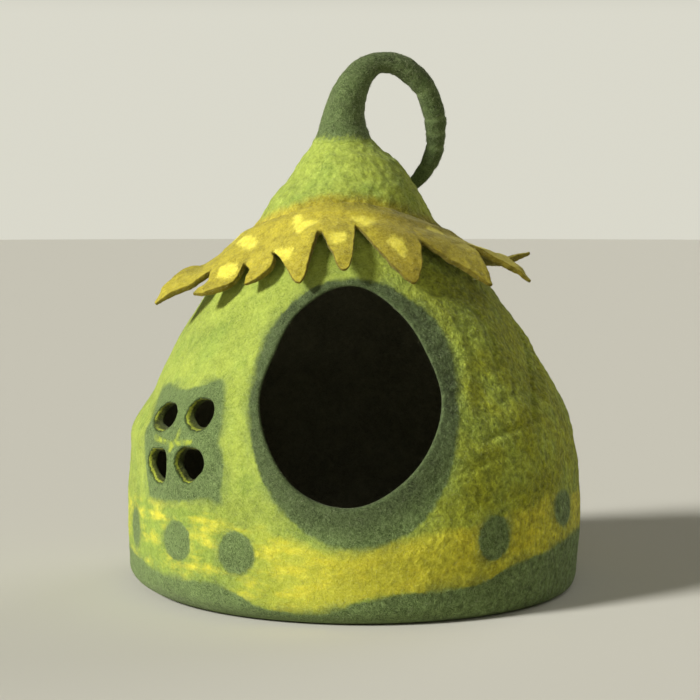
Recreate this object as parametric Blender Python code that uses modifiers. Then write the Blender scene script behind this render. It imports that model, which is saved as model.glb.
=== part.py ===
"""Wet-felted wool cat cave with a cut leaf collar and a curled stem.

Metres, +Z up. The door faces -Y. The origin is the centre of the flat floor's
underside. Azimuths run from the door towards +X. The cave is a hollow felted
wall with a floor, an egg-shaped door and four window holes. The collar is a
felt sheet felted on round the cone, and the stem is a tapered roll that
stands on the neck and curls over to one side.
"""

import math
from collections import namedtuple

import bmesh
import bpy
from mathutils import Matrix, Vector

MM = 0.001

# ---- driving dimensions, in millimetres and degrees ----

WALL_THICKNESS = 7.0
FLOOR_RADIUS = 203.0  # the part of the floor that lies flat
FLOOR_CORNER = 21.0  # radius of the rounded edge between floor and wall
FLOOR_LEAN = 8.0  # the floor stands a little to the right of the wall above it
NECK_HEIGHT = 441.0
COLLAR_THICKNESS = 5.4
COLLAR_FEATHER = 1.2  # thickness at the felted-in upper edge
SEAM_THICKENS = 0.6  # share of the full thickness gained in each row below that edge
TIP_SHARE = 0.35  # share of it left at the leaf tips, and gained in each row above them
TIP_THICKENS = 0.35
SEAM_CLEARANCE = 1.1  # between the wall and the collar's felted-in edge
HUG_CLEARANCE = 1.9  # between the wall and the collar where it starts to stand off
CONTACT_GAP = 0.4  # between the neck and the stem, whose rim dips a little between its corners

# ---- mesh steps ----

TURN_STEPS = 54  # columns round the wall
CORNER_STEPS = 4
WALL_STEPS = 26
DOOR_POINTS = 44
HOLE_POINTS = 14
LEAF_COLUMNS = 6
RING_ROWS = 4  # from the seam to the notches
BLADE_ROWS = 6  # from the notches to the leaf tips
STEM_POINTS = 34
STEM_BEVEL = 4  # gives 12 sides

# The wall's outer radius and the sideways lean of its centre, at each height
Station = namedtuple("Station", "height radius lean")
STATIONS = [
    Station(21, 224.0, -1.0),
    Station(60, 226.5, 0.0),
    Station(100, 225.5, 0.0),
    Station(135, 222.5, 0.5),
    Station(160, 218.0, 0.5),
    Station(185, 207.0, 0.0),
    Station(220, 187.0, -1.0),
    Station(250, 170.5, -2.0),
    Station(280, 150.5, -3.0),
    Station(310, 130.0, -4.5),
    Station(340, 105.5, -5.5),
    Station(365, 85.5, -7.0),
    Station(385, 74.0, -6.5),
    Station(402, 61.5, -4.0),
    Station(418, 50.5, -5.0),
    Station(430, 39.0, -7.5),
    Station(NECK_HEIGHT, 29.0, -11.0),
]

# Soft bulges (+) and hollows (-) in the wall, as hand-felted cloth stands
Dent = namedtuple("Dent", "azimuth height spread_azimuth spread_height depth")
DENTS = [
    Dent(-86, 156, 20, 15, 3.0),
    Dent(-84, 192, 20, 14, -3.5),
    Dent(-52, 155, 17, 52, 3.0),
    Dent(84, 150, 22, 26, -2.5),
    Dent(66, 232, 12, 34, -3.0),
    Dent(46, 262, 9, 30, 2.5),
    Dent(38, 205, 8, 40, -2.5),
    Dent(-40, 265, 12, 30, -2.5),
    Dent(2, 70, 26, 20, 4.0),
    Dent(112, 215, 24, 40, 3.5),
    Dent(150, 170, 20, 44, -4.0),
    Dent(178, 250, 22, 46, 3.0),
    Dent(-150, 205, 18, 40, -3.5),
    Dent(-118, 120, 22, 40, 2.5),
    Dent(30, 398, 30, 14, 2.5),
    Dent(-60, 405, 30, 12, -1.5),
    Dent(160, 392, 34, 16, 1.8),
]

# Door outline: its reach from a centre, every 30 degrees clockwise from the top
DOOR_CENTRE_X = -2.5
DOOR_CENTRE_Z = 201.0
DOOR_REACH = [101.5, 88.5, 80.0, 82.0, 81.5, 85.0, 92.4, 91.6, 85.5, 83.9, 81.5, 92.5]

# Window holes: each one's reach from its centre, every 45 degrees clockwise from the top
Hole = namedtuple("Hole", "name azimuth height reach")
HOLES = [
    Hole("upper_back", -58.0, 176.5, (14.0, 17.0, 20.0, 13.5, 10.5, 12.5, 21.5, 17.0)),
    Hole("upper_front", -43.5, 184.0, (14.0, 15.5, 16.5, 15.5, 13.4, 13.0, 18.0, 16.3)),
    Hole("lower_back", -56.2, 134.7, (13.5, 18.5, 17.0, 20.0, 15.0, 15.0, 19.0, 16.7)),
    Hole("lower_front", -43.4, 140.0, (14.3, 17.2, 18.5, 15.5, 17.3, 15.0, 18.2, 17.3)),
]

# The collar's upper edge on the cone: height at the front, sides and back
SEAM_SIDE = 357.0
SEAM_FRONT_RISE = 24.0
SEAM_BACK_RISE = 8.0
COLLAR_HUG = 17.0  # how far down from its upper edge the collar lies on the wall
COLLAR_CENTRE_X = -6.0

# One row for each leaf, going round: its tip, the notch after it, how far its middle
# arches up, how far its sides bow towards the next leaf and how far they draw in
Leaf = namedtuple(
    "Leaf",
    "tip_azimuth tip_radius tip_height notch_azimuth notch_radius notch_height arch bow waist",
)
LEAVES = [
    Leaf(-178, 172, 300, -167, 124, 325, 3, 3, 0.20),
    Leaf(-154, 180, 291, -143, 130, 320, 5, -3, 0.20),
    Leaf(-130, 187, 298, -118, 138, 317, 3, 0, 0.25),
    Leaf(-104, 184, 301, -90, 140, 312, 2, -2, 0.35),
    Leaf(-76, 192, 280, -63, 146, 310, 7, 12, -0.05),
    Leaf(-60, 170, 291, -47, 131, 318, -5, 11, -0.20),
    Leaf(-42.3, 143, 302, -33, 124, 330, 0, 16, -0.40),
    Leaf(-18, 148, 305, -13.5, 111, 349, 1, 2, 0.12),
    Leaf(-1.2, 145, 317, 4.5, 101, 354, 0, 1, 0.05),
    Leaf(25, 145.5, 304, 34, 121, 340, -1, 3, -0.25),
    Leaf(55, 165.5, 300, 64, 127, 334, 1, 1, -0.10),
    Leaf(76, 182, 302, 87, 137, 325, 4, 0, 0.00),
    Leaf(102, 190, 326, 116, 137, 322, -4, 2, 0.20),
    Leaf(128, 184, 297, 139, 131, 322, 5, 0, 0.20),
    Leaf(153, 175, 306, 167, 126, 327, 3, -3, 0.15),
]
LEAF_TIP_HALF_WIDTH = 3.0
LEAF_TIP_ROUND = 2.6  # the tip reaches this far past where its sides end
NOTCH_HALF_WIDTH = 1.2

# The stem's centre line and radius, from the neck to the tip behind the cone
Joint = namedtuple("Joint", "x y z radius")
STEM = [
    Joint(-11.0, 0, NECK_HEIGHT + CONTACT_GAP, 28.8),
    Joint(-11.0, 0, 447, 26.2),
    Joint(-11.0, 0, 456, 23.0),
    Joint(-9.8, 0, 467, 20.6),
    Joint(-6.2, 0, 482, 18.4),
    Joint(-0.5, 1, 496, 16.2),
    Joint(9.0, 2, 509, 13.4),
    Joint(22.0, 4, 517, 11.0),
    Joint(36.0, 7, 518, 10.7),
    Joint(50.0, 10, 513, 11.4),
    Joint(64.0, 14, 502, 11.6),
    Joint(74.5, 19, 486, 11.1),
    Joint(80.5, 24, 469, 11.3),
    Joint(82.5, 29, 452, 10.2),
    Joint(82.0, 35, 435, 9.2),
    Joint(77.5, 41, 421, 8.8),
    Joint(70.0, 47, 409, 7.9),
    Joint(61.0, 54, 398, 7.0),
    Joint(52.5, 61, 389, 6.2),
    Joint(45.0, 68, 382, 4.6),
    Joint(41.0, 72, 379, 2.6),
]

# Base colours of the dyed wool
LIME = (0.44, 0.52, 0.09)
OLIVE = (0.50, 0.40, 0.06)
DEEP_GREEN = (0.075, 0.10, 0.035)


# ---- curves through the tables ----


def hermite(x0, x1, y0, y1, slope0, slope1, x):
    """The cubic that has the given values and slopes at both ends."""
    run = x1 - x0
    t = (x - x0) / run
    start = (1 + 2 * t) * (1 - t) ** 2 * y0 + t * (1 - t) ** 2 * run * slope0
    end = t * t * (3 - 2 * t) * y1 + t * t * (t - 1) * run * slope1
    return start + end


def smooth_column(keys, values, at):
    """A smooth curve through (keys, values), read at one place between them."""
    last = len(keys) - 1
    at = min(max(at, keys[0]), keys[-1])
    i = max(k for k in range(last) if keys[k] <= at)

    def slope(k):
        low, high = max(k - 1, 0), min(k + 1, last)
        return (values[high] - values[low]) / (keys[high] - keys[low])

    return hermite(keys[i], keys[i + 1], values[i], values[i + 1], slope(i), slope(i + 1), at)


def round_column(keys, values, azimuth):
    """The same for values that go once round, with keys in degrees."""
    shifted_keys = [k + turn for turn in (-360, 0, 360) for k in keys]
    return smooth_column(shifted_keys, list(values) * 3, azimuth)


def falloff(distance, spread):
    return math.exp(-((distance / spread) ** 2))


def turn_between(a, b):
    """The shorter way from azimuth b to azimuth a, in degrees."""
    return (a - b + 180) % 360 - 180


# ---- the felted wall ----


def dents_at(azimuth, height):
    return sum(
        d.depth
        * falloff(turn_between(azimuth, d.azimuth), d.spread_azimuth)
        * falloff(height - d.height, d.spread_height)
        for d in DENTS
    )


def lean_at(height):
    return smooth_column([s.height for s in STATIONS], [s.lean for s in STATIONS], height)


def radius_at(height):
    return smooth_column([s.height for s in STATIONS], [s.radius for s in STATIONS], height)


def wall_point(azimuth, height, out=0.0):
    """A point on the wall's outer face, in millimetres, or a little way out from it."""
    radius = radius_at(height) + dents_at(azimuth, height) + out
    angle = math.radians(azimuth)
    return Vector((lean_at(height) + radius * math.sin(angle), -radius * math.cos(angle), height))


def wall_profile():
    """(radius, height) from the neck down the wall, round the floor's edge and in to its centre."""
    top, low = NECK_HEIGHT, FLOOR_CORNER
    points = []
    for step in range(WALL_STEPS + 1):
        height = top + (low - top) * step / WALL_STEPS
        points.append((radius_at(height), height))
    corner_radius = radius_at(FLOOR_CORNER) - FLOOR_RADIUS
    for step in range(1, CORNER_STEPS + 1):
        angle = math.pi / 2 * step / CORNER_STEPS
        radius = FLOOR_RADIUS + corner_radius * math.cos(angle)
        points.append((radius, FLOOR_CORNER * (1 - math.sin(angle))))
    points += [(FLOOR_RADIUS / 2, 0.0), (0.0, 0.0)]
    return points


def reach_outline(reaches, count):
    """A closed outline of evenly turned points, from its reach in a few directions."""
    directions = [360 * k / len(reaches) for k in range(len(reaches))]
    outline = []
    for step in range(count):
        turn = 360 * step / count
        reach = round_column(directions, reaches, turn)
        angle = math.radians(turn)
        outline.append((reach * math.sin(angle), reach * math.cos(angle)))
    return outline


# ---- objects ----


def felt_material(name, colour):
    material = bpy.data.materials.new(name)
    material.use_nodes = True
    shader = material.node_tree.nodes["Principled BSDF"]
    shader.inputs["Base Color"].default_value = (*colour, 1.0)
    shader.inputs["Roughness"].default_value = 0.95
    shader.inputs["Metallic"].default_value = 0.0
    return material


def add_mesh_object(name, mesh, collection):
    piece = bpy.data.objects.new(name, mesh)
    collection.objects.link(piece)
    return piece


def baked(piece):
    """Replaces an object's data by the mesh that its modifiers or its curve make."""
    bpy.context.view_layer.update()
    graph = bpy.context.evaluated_depsgraph_get()
    mesh = bpy.data.meshes.new_from_object(piece.evaluated_get(graph))
    work = bmesh.new()
    work.from_mesh(mesh)
    bmesh.ops.remove_doubles(work, verts=work.verts, dist=0.01 * MM)
    work.to_mesh(mesh)
    work.free()
    solid = add_mesh_object(piece.name + "_mesh", mesh, piece.users_collection[0])
    solid.matrix_world = piece.matrix_world
    name = piece.name
    bpy.data.objects.remove(piece)
    solid.name = name
    return solid


def turned_wall(collection):
    """The wall's outer face as an open surface: a turned profile, then made uneven."""
    mesh = bpy.data.meshes.new("wall_profile")
    points = [(radius * MM, 0.0, height * MM) for radius, height in wall_profile()]
    edges = [(i, i + 1) for i in range(len(points) - 1)]
    mesh.from_pydata(points, edges, [])
    wall = add_mesh_object("cave_wall", mesh, collection)
    turn = wall.modifiers.new("Turn", "SCREW")
    turn.axis = "Z"
    turn.angle = 2 * math.pi
    turn.steps = TURN_STEPS
    turn.render_steps = TURN_STEPS
    turn.use_merge_vertices = True
    turn.merge_threshold = 0.01 * MM
    wall = baked(wall)
    for vertex in wall.data.vertices:
        place = vertex.co / MM
        azimuth = math.atan2(place.x, -place.y)
        radius = math.hypot(place.x, place.y)
        fade = min(1.0, place.z / FLOOR_CORNER)
        radius += fade * dents_at(math.degrees(azimuth), place.z)
        lean = fade * lean_at(place.z) + (1 - fade) ** 2 * FLOOR_LEAN
        vertex.co.x = (lean + radius * math.sin(azimuth)) * MM
        vertex.co.y = -radius * math.cos(azimuth) * MM
    return wall


def prism_cutter(name, outline, half_length, collection):
    """A closed prism with the given outline in its own XY plane, running along its Z."""
    curve = bpy.data.curves.new(name, "CURVE")
    curve.dimensions = "2D"
    curve.fill_mode = "BOTH"
    curve.extrude = half_length * MM
    spline = curve.splines.new("POLY")
    spline.points.add(len(outline) - 1)
    for point, (across, up) in zip(spline.points, outline):
        point.co = (across * MM, up * MM, 0.0, 1.0)
    spline.use_cyclic_u = True
    cutter = bpy.data.objects.new(name, curve)
    collection.objects.link(cutter)
    return cutter


def place_cutter(cutter, centre, azimuth):
    """Points the prism's Z outwards along an azimuth, with its Y up."""
    angle = math.radians(azimuth)
    outward = Vector((math.sin(angle), -math.cos(angle), 0.0))
    up = Vector((0.0, 0.0, 1.0))
    across = up.cross(outward)
    turn = Matrix((across, up, outward)).transposed().to_4x4()
    cutter.matrix_world = Matrix.Translation(centre * MM) @ turn
    solid = baked(cutter)
    solid.hide_render = True
    solid.display_type = "WIRE"
    return solid


def cut(piece, cutter):
    difference = piece.modifiers.new("Cut " + cutter.name, "BOOLEAN")
    difference.operation = "DIFFERENCE"
    difference.object = cutter


def make_wall(parts, cutters):
    wall = turned_wall(parts)
    felt = wall.modifiers.new("Felt thickness", "SOLIDIFY")
    felt.thickness = WALL_THICKNESS * MM
    felt.offset = -1.0
    felt.use_even_offset = True
    reach = radius_at(FLOOR_CORNER)
    door = prism_cutter("door_cutter", reach_outline(DOOR_REACH, DOOR_POINTS), reach / 2, cutters)
    cut(wall, place_cutter(door, Vector((DOOR_CENTRE_X, -reach, DOOR_CENTRE_Z)), 0))
    for hole in HOLES:
        centre = wall_point(hole.azimuth, hole.height)
        outline = reach_outline(hole.reach, HOLE_POINTS)
        window = prism_cutter(hole.name + "_cutter", outline, 30.0, cutters)
        cut(wall, place_cutter(window, centre, hole.azimuth))
    finish_piece(wall, felt_material("lime_felt", LIME))
    return wall


# ---- the leaf collar ----


def seam_height(azimuth):
    """Height of the collar's felted-in edge: highest over the door, lowest at the sides."""
    ahead = math.cos(math.radians(azimuth))
    rise = SEAM_FRONT_RISE if ahead > 0 else SEAM_BACK_RISE
    return SEAM_SIDE + rise * ahead * ahead


def reach_from_collar_axis(point):
    return math.hypot(point.x - COLLAR_CENTRE_X, point.y)


def plan(azimuth, radius):
    angle = math.radians(azimuth)
    return Vector((radius * math.sin(angle), -radius * math.cos(angle)))


def at_notches(column, azimuth):
    """A column of the leaf table that belongs to the notches, read at any azimuth."""
    keys = [leaf.notch_azimuth for leaf in LEAVES]
    return round_column(keys, [getattr(leaf, column) for leaf in LEAVES], azimuth)


def at_tips(column, azimuth):
    keys = [leaf.tip_azimuth for leaf in LEAVES]
    return round_column(keys, [getattr(leaf, column) for leaf in LEAVES], azimuth)


def ring_points(azimuth, count):
    """Places from the seam out to the notches. The sheet starts down the cone and
    stands off before it reaches them."""
    seam = wall_point(azimuth, seam_height(azimuth), SEAM_CLEARANCE)
    hug = wall_point(azimuth, seam.z - COLLAR_HUG, HUG_CLEARANCE)
    radii = [reach_from_collar_axis(seam), reach_from_collar_axis(hug)]
    radii += [at_notches("notch_radius", azimuth), at_tips("tip_radius", azimuth)]
    heights = [seam.z, hug.z]
    heights += [at_notches("notch_height", azimuth), at_tips("tip_height", azimuth)]
    start = Vector((seam.x - COLLAR_CENTRE_X, seam.y))
    end = plan(azimuth, radii[2])
    places = []
    for step in range(count + 1):
        spot = start.lerp(end, step / count)
        places.append(spot.to_3d())
        places[-1].z = smooth_column(radii, heights, spot.length)
    return places, (heights[2] - heights[1]) / (radii[2] - radii[1])


def leaf_side(notch, end, middle, bow, waist):
    """A curve in plan from a notch to one side of a leaf's tip, bowed and drawn in."""
    control = notch.lerp(end, 0.5).lerp(middle, waist) + bow

    def at(t):
        return notch.lerp(control, t).lerp(control.lerp(end, t), t)

    return at


def leaf_columns(before, leaf):
    """The underside of one leaf and its share of the ring, as columns of places."""
    gap = math.degrees(NOTCH_HALF_WIDTH / leaf.notch_radius)
    first = leaf.tip_azimuth - turn_between(leaf.tip_azimuth, before.notch_azimuth) + gap
    last = leaf.tip_azimuth + turn_between(leaf.notch_azimuth, leaf.tip_azimuth) - gap
    rings = []
    for column in range(LEAF_COLUMNS + 1):
        rings.append(ring_points(first + (last - first) * column / LEAF_COLUMNS, RING_ROWS))
    start = rings[0][0][-1].xy
    end = rings[-1][0][-1].xy
    tip = plan(leaf.tip_azimuth, leaf.tip_radius)
    foot = (start + end) / 2
    along = (tip - foot).normalized()
    across = Vector((-along.y, along.x))
    bow = (end - start).normalized() * leaf.bow
    middle = foot.lerp(tip, 0.5)
    corner = tip - along * LEAF_TIP_ROUND
    near = leaf_side(start, corner - across * LEAF_TIP_HALF_WIDTH, middle, bow, leaf.waist)
    far = leaf_side(end, corner + across * LEAF_TIP_HALF_WIDTH, middle, bow, leaf.waist)
    reach = (tip - foot).length
    columns = []
    for number, (ring, slope) in enumerate(rings):
        share = number / LEAF_COLUMNS
        base = ring[-1]
        offset = base.xy - start.lerp(end, share)
        column = list(ring)
        for row in range(1, BLADE_ROWS + 1):
            t = row / BLADE_ROWS
            round_end = LEAF_TIP_ROUND * 4 * share * (1 - share) * t**4
            spot = near(t).lerp(far(t), share) + offset * (1 - t) ** 2 + along * round_end
            drop = leaf.tip_height - base.z
            height = hermite(0, 1, base.z, leaf.tip_height, slope * reach, drop, t)
            column.append(spot.to_3d())
            column[-1].z = height + leaf.arch * 4 * t * (1 - t)
        columns.append(column)
    return columns


def collar_surface():
    """The collar's underside as an open mesh, one grid for each leaf, joined at the ring."""
    work = bmesh.new()
    grids = []
    for number, leaf in enumerate(LEAVES):
        grid = []
        for column in leaf_columns(LEAVES[number - 1], leaf):
            places = [(place + Vector((COLLAR_CENTRE_X, 0, 0))) * MM for place in column]
            grid.append([work.verts.new(place) for place in places])
        grids.append(grid)
    for number, grid in enumerate(grids):
        following = grids[(number + 1) % len(grids)][0][: RING_ROWS + 1]
        for left, right in zip(grid, grid[1:] + [following]):
            for row in range(len(right) - 1):
                work.faces.new((left[row], left[row + 1], right[row + 1], right[row]))
    mesh = bpy.data.meshes.new("leaf_collar")
    work.to_mesh(mesh)
    work.free()
    return mesh


def make_collar(parts):
    collar = add_mesh_object("leaf_collar", collar_surface(), parts)
    body = collar.vertex_groups.new(name="thickness")
    rows = RING_ROWS + BLADE_ROWS
    for vertex in collar.data.vertices:
        row = vertex.index % (rows + 1)
        share = min(1.0, SEAM_THICKENS * row, TIP_SHARE + TIP_THICKENS * (rows - row))
        body.add([vertex.index], share, "REPLACE")
    felt = collar.modifiers.new("Felt thickness", "SOLIDIFY")
    felt.thickness = COLLAR_THICKNESS * MM
    felt.offset = 1.0
    felt.vertex_group = "thickness"
    felt.thickness_vertex_group = COLLAR_FEATHER / COLLAR_THICKNESS
    finish_piece(collar, felt_material("olive_felt", OLIVE))
    return collar


# ---- the curled stem ----


def make_stem(parts):
    distances = [0.0]
    for before, after in zip(STEM, STEM[1:]):
        step = (Vector(after[:3]) - Vector(before[:3])).length
        distances.append(distances[-1] + step)
    curve = bpy.data.curves.new("curled_stem", "CURVE")
    curve.dimensions = "3D"
    curve.bevel_depth = MM
    curve.bevel_resolution = STEM_BEVEL
    curve.use_fill_caps = True
    spline = curve.splines.new("POLY")
    spline.points.add(STEM_POINTS)
    for step, point in enumerate(spline.points):
        at = distances[-1] * step / STEM_POINTS
        x, y, z, radius = (
            smooth_column(distances, [joint[column] for joint in STEM], at) for column in range(4)
        )
        point.co = (x * MM, y * MM, z * MM, 1.0)
        point.radius = radius
    stem = bpy.data.objects.new("curled_stem", curve)
    parts.objects.link(stem)
    stem = baked(stem)
    finish_piece(stem, felt_material("deep_green_felt", DEEP_GREEN))
    return stem


def finish_piece(piece, material):
    piece.data.materials.clear()
    piece.data.materials.append(material)
    piece.data.shade_smooth()
    piece.data.set_sharp_from_angle(angle=math.radians(50))


def main():
    for old in list(bpy.data.objects):
        bpy.data.objects.remove(old)
    parts = bpy.data.collections.new("felt_cat_cave")
    cutters = bpy.data.collections.new("cutters")
    bpy.context.scene.collection.children.link(parts)
    bpy.context.scene.collection.children.link(cutters)
    make_wall(parts, cutters)
    make_collar(parts)
    make_stem(parts)


main()
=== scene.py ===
import math
from functools import partial

import bmesh
import bpy
import numpy as np
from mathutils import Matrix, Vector, noise
from mathutils.geometry import delaunay_2d_cdt


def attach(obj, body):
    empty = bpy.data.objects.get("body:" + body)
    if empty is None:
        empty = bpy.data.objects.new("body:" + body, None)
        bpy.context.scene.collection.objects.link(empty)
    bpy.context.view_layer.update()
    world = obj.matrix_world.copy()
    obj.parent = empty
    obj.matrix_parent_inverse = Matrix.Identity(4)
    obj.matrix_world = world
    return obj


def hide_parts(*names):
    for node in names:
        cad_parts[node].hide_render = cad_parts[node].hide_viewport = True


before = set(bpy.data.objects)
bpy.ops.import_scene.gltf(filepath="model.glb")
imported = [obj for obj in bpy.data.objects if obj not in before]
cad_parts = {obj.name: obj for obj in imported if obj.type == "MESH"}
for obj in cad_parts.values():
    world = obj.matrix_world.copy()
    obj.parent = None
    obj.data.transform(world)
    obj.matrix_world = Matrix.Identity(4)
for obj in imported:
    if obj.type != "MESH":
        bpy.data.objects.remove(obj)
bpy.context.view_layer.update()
mm = 0.001
dice = np.random.default_rng(41)


# curves and distances, worked out for a whole array of places at once

def easedBetween(t, start, startRise, end, endRise):
    # a smooth run from start to end as t goes from 0 to 1, with these slopes at its ends
    first = (1 + 2 * t) * (1 - t) ** 2 * start + t * (1 - t) ** 2 * startRise
    return first + t * t * (3 - 2 * t) * end + t * t * (t - 1) * endRise


def softCurve(keys, values, at):
    keys, values = np.asarray(keys, float), np.asarray(values, float)
    steps, rises = np.pad(keys, 1, mode="edge"), np.pad(values, 1, mode="edge")
    slopes = (rises[2:] - rises[:-2]) / (steps[2:] - steps[:-2])
    at = np.clip(at, keys[0], keys[-1])
    low = np.clip(np.searchsorted(keys, at, side="right") - 1, 0, len(keys) - 2)
    run = keys[low + 1] - keys[low]
    t = (at - keys[low]) / run
    return easedBetween(t, values[low], run * slopes[low], values[low + 1], run * slopes[low + 1])


def roundCurve(keys, values, azimuth):
    # the same for keys that go once round
    keys = np.concatenate([np.asarray(keys, float) + turn for turn in (-360, 0, 360)])
    return softCurve(keys, np.tile(values, 3), azimuth)


def smoothStep(low, high, value):
    t = np.clip((value - low) / (high - low), 0, 1)
    return t * t * (3 - 2 * t)


def softLoop(corners, steps=5):
    # a closed outline that runs smoothly through its corners
    corners = np.asarray(corners, float)
    keys = np.arange(-3, len(corners) + 4)
    wrapped = corners[keys % len(corners)]
    at = np.arange(len(corners) * steps) / steps
    return np.column_stack([softCurve(keys, wrapped[:, axis], at) for axis in (0, 1)])


def besideLine(places, line):
    # distance from each place to a line through points, flat or in space
    nearest = np.full(len(places), 1e9)
    for a, b in zip(line[:-1], line[1:]):
        run = b - a
        share = np.clip(((places - a) @ run) / max(run @ run, 1e-9), 0, 1)
        gap = places - a - share[:, None] * run
        nearest = np.minimum(nearest, np.linalg.norm(gap, axis=1))
    return nearest


def insideBy(places, outline):
    # how far inside a closed outline each place lies; negative outside it
    closed = np.vstack([outline, outline[:1]])
    x, y = places.T
    crossings = np.zeros(len(places), int)
    for a, b in zip(closed[:-1], closed[1:]):
        rise = (b[1] - a[1]) or 1e-9
        spans = (a[1] > y) != (b[1] > y)
        crossings += spans & (x < a[0] + (y - a[1]) * (b[0] - a[0]) / rise)
    nearest = besideLine(places, closed)
    return np.where(crossings % 2 == 1, nearest, -nearest)


def turnBetween(a, b):
    return (a - b + 180) % 360 - 180


def evenTurns(count):
    return np.arange(count) * 360 / count


def facing(azimuth, elevation=0.0):
    # the direction of an azimuth and elevation in degrees: 0 is the door's side, 90 the right
    turn, rise = np.radians(azimuth), np.radians(elevation)
    flat = np.cos(rise)
    return np.stack([np.sin(turn) * flat, -np.cos(turn) * flat, np.sin(rise) + 0 * turn], axis=-1)


def waves(places, size, shift=(0, 0, 0)):
    # smooth noise from about -1 to 1 at each place, its waves this many millimetres long
    shift = Vector(shift)
    return np.array([noise.noise(Vector(place) / size + shift) for place in places.tolist()])


def lumpsOn(places, lumps, shift, step):
    # how high each size of lump stands, from rows of size and height
    shifts = [np.add(shift, np.multiply(step, number)) for number in range(len(lumps))]
    return [rise * waves(places, size, shift) for (size, rise), shift in zip(lumps, shifts)]


def makeObject(name, places, faces, marks):
    # places are in millimetres; marks are named numbers kept at each point for its material
    mesh = bpy.data.meshes.new(name)
    mesh.from_pydata((places * mm).tolist(), [], [tuple(map(int, face)) for face in faces])
    work = bmesh.new()
    work.from_mesh(mesh)
    bmesh.ops.recalc_face_normals(work, faces=work.faces)
    work.to_mesh(mesh)
    work.free()
    for label, values in marks.items():
        layer = mesh.attributes.new(label, "FLOAT", "POINT")
        layer.data.foreach_set("value", np.asarray(values, np.float32))
    mesh.shade_smooth()
    piece = bpy.data.objects.new(name, mesh)
    bpy.context.scene.collection.objects.link(piece)
    return piece


# the felted wall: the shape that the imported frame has

wall = {
    "thickness": 7.0,
    "neckHeight": 441.0,
    "floorRadius": 203.0,
    "floorCorner": 21.0,
    "floorLean": 8.0,
    "floorHub": 24.0,
    # points down the side, round the floor's edge and in along the floor
    "profilePoints": (260, 26, 40),
    # height, radius, sideways lean
    "stations": [
        (21, 224.0, -1.0), (60, 226.5, 0.0), (100, 225.5, 0.0), (135, 222.5, 0.5),
        (160, 218.0, 0.5), (185, 207.0, 0.0), (220, 187.0, -1.0), (250, 170.5, -2.0),
        (280, 150.5, -3.0), (310, 130.0, -4.5), (340, 105.5, -5.5), (365, 85.5, -7.0),
        (385, 74.0, -6.5), (402, 61.5, -4.0), (418, 50.5, -5.0), (430, 39.0, -7.5),
        (441, 29.0, -11.0),
    ],
    # azimuth, height, spread round, spread up, depth
    "dents": [
        (-86, 156, 20, 15, 3.0), (-84, 192, 20, 14, -3.5), (-52, 155, 17, 52, 3.0),
        (84, 150, 22, 26, -2.5), (66, 232, 12, 34, -3.0), (46, 262, 9, 30, 2.5),
        (38, 205, 8, 40, -2.5), (-40, 265, 12, 30, -2.5), (2, 70, 26, 20, 4.0),
        (112, 215, 24, 40, 3.5), (150, 170, 20, 44, -4.0), (178, 250, 22, 46, 3.0),
        (-150, 205, 18, 40, -3.5), (-118, 120, 22, 40, 2.5), (30, 398, 30, 14, 2.5),
        (-60, 405, 30, 12, -1.5), (160, 392, 34, 16, 1.8),
    ],
    "doorCentreX": -2.5,
    # each cut: azimuth, height, its reach clockwise from the top, points round it, how far its lip rolls
    "cuts": {
        "door": (
            0, 201.0, (101.5, 88.5, 80.0, 82.0, 81.5, 85.0, 92.4, 91.6, 85.5, 83.9, 81.5, 92.5), 190, 3.4,
        ),
        "upperBack": (-58.0, 176.5, (14.0, 17.0, 20.0, 13.5, 10.5, 12.5, 21.5, 17.0), 44, 2.8),
        "upperFront": (-43.5, 184.0, (14.0, 15.5, 16.5, 15.5, 13.4, 13.0, 18.0, 16.3), 44, 2.8),
        "lowerBack": (-56.2, 134.7, (13.5, 18.5, 17.0, 20.0, 15.0, 15.0, 19.0, 16.7), 44, 2.8),
        "lowerFront": (-43.4, 140.0, (14.3, 17.2, 18.5, 15.5, 17.3, 15.0, 18.2, 17.3), 44, 2.8),
    },
}
cuts = wall["cuts"]
heights, radii, leans = np.array(wall["stations"]).T


def leanAt(height):
    return softCurve(heights, leans, height)


def radiusAt(height):
    return softCurve(heights, radii, height)


def dentsAt(azimuth, height):
    dents = np.zeros(np.shape(azimuth))
    for dentAzimuth, dentHeight, spreadRound, spreadUp, depth in wall["dents"]:
        away = turnBetween(azimuth, dentAzimuth) / spreadRound
        dents += depth * np.exp(-away**2 - ((height - dentHeight) / spreadUp) ** 2)
    return dents


def wallProfile():
    # from the neck down, round the floor's edge and in to a small hub
    sidePoints, cornerPoints, floorPoints = wall["profilePoints"]
    down = np.linspace(wall["neckHeight"], wall["floorCorner"], sidePoints)
    out = radiusAt(down)
    turn = np.linspace(0, math.pi / 2, cornerPoints)[1:]
    bend = out[-1] - wall["floorRadius"]
    inward = np.linspace(wall["floorRadius"], wall["floorHub"], floorPoints)[1:]
    out = np.concatenate([out, wall["floorRadius"] + bend * np.cos(turn), inward])
    down = np.concatenate([down, wall["floorCorner"] * (1 - np.sin(turn)), 0 * inward])
    return np.append(0, np.cumsum(np.hypot(np.diff(out), np.diff(down)))), out, down


along, profileRadius, profileHeight = wallProfile()
slopeOut, slopeUp = np.gradient(profileRadius, along), np.gradient(profileHeight, along)
normalLength = np.hypot(slopeOut, slopeUp)
normalOut, normalUp = -slopeUp / normalLength, slopeOut / normalLength
# on a plane, rings this far out keep every small triangle's shape
flatReach = np.append(0, np.cumsum(np.diff(along) * 2 / (profileRadius[1:] + profileRadius[:-1])))


def onProfile(values, at):
    return np.interp(at, along, values)


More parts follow.
